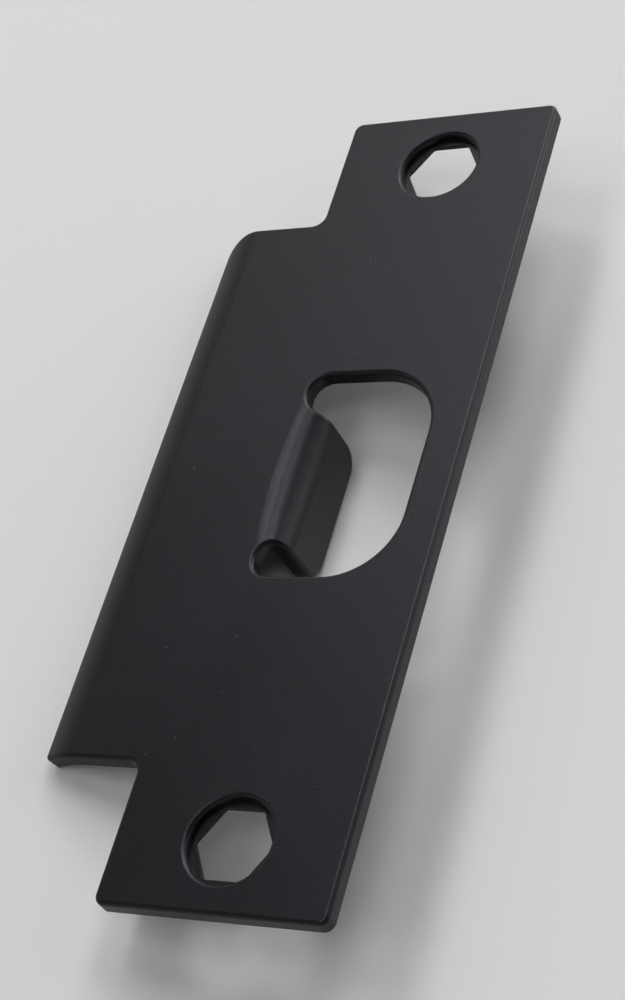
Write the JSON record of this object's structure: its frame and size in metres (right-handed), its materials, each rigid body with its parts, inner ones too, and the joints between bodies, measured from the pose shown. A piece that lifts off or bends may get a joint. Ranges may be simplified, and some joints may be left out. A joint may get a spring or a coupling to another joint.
{
  "type": "door strike plate",
  "caption": "Folded sheet-steel strike plate with a curved lip, a latch opening with a bent-down tab, and recessed hexagonal screw holes.",
  "frame": {"origin": "midway between the two screw holes, on the plate's face", "axes": "+Z out of the face, +Y along the plate, -X towards the lip"},
  "size_m": [0.0468, 0.1238, 0.0116],
  "materials": {
    "coated_steel": "satin black powder coat"
  },
  "bodies": {
    "root": {"strike_plate": "coated_steel"}
  },
  "joints": []
}
